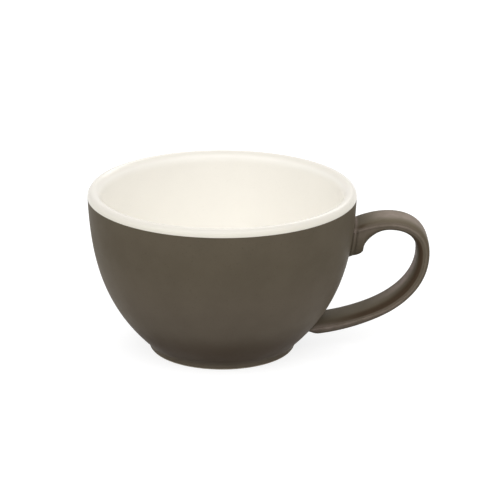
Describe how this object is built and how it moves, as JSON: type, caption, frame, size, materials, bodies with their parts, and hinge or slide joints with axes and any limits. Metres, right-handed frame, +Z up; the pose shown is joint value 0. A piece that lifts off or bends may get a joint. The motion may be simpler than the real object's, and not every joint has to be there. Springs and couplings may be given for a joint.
{
  "type": "cappuccino cup",
  "caption": "Round ceramic cappuccino cup on a low foot ring, with a loop handle, a matt grey-brown outside and a cream glazed inside.",
  "frame": {"origin": "on the bowl's axis in the plane that the foot ring stands on", "axes": "+Z up along the bowl's axis; +X from the axis towards the handle, whose middle plane is Y = 0; +Y to the left of someone who looks along +X"},
  "size_m": [0.1236, 0.097, 0.06],
  "materials": {
    "bare_clay": "matt, bare fired clay",
    "joint_slip": "matt, bare fired clay",
    "cream_glaze": "gloss",
    "brown_glaze": "satin matt"
  },
  "bodies": {
    "root": {"cup_body": "bare_clay", "handle": "bare_clay", "upper_joint": "joint_slip", "lower_joint": "joint_slip", "liner_glaze": "cream_glaze", "wall_glaze": "brown_glaze", "handle_glaze": "brown_glaze", "base_glaze": "brown_glaze"}
  },
  "joints": []
}
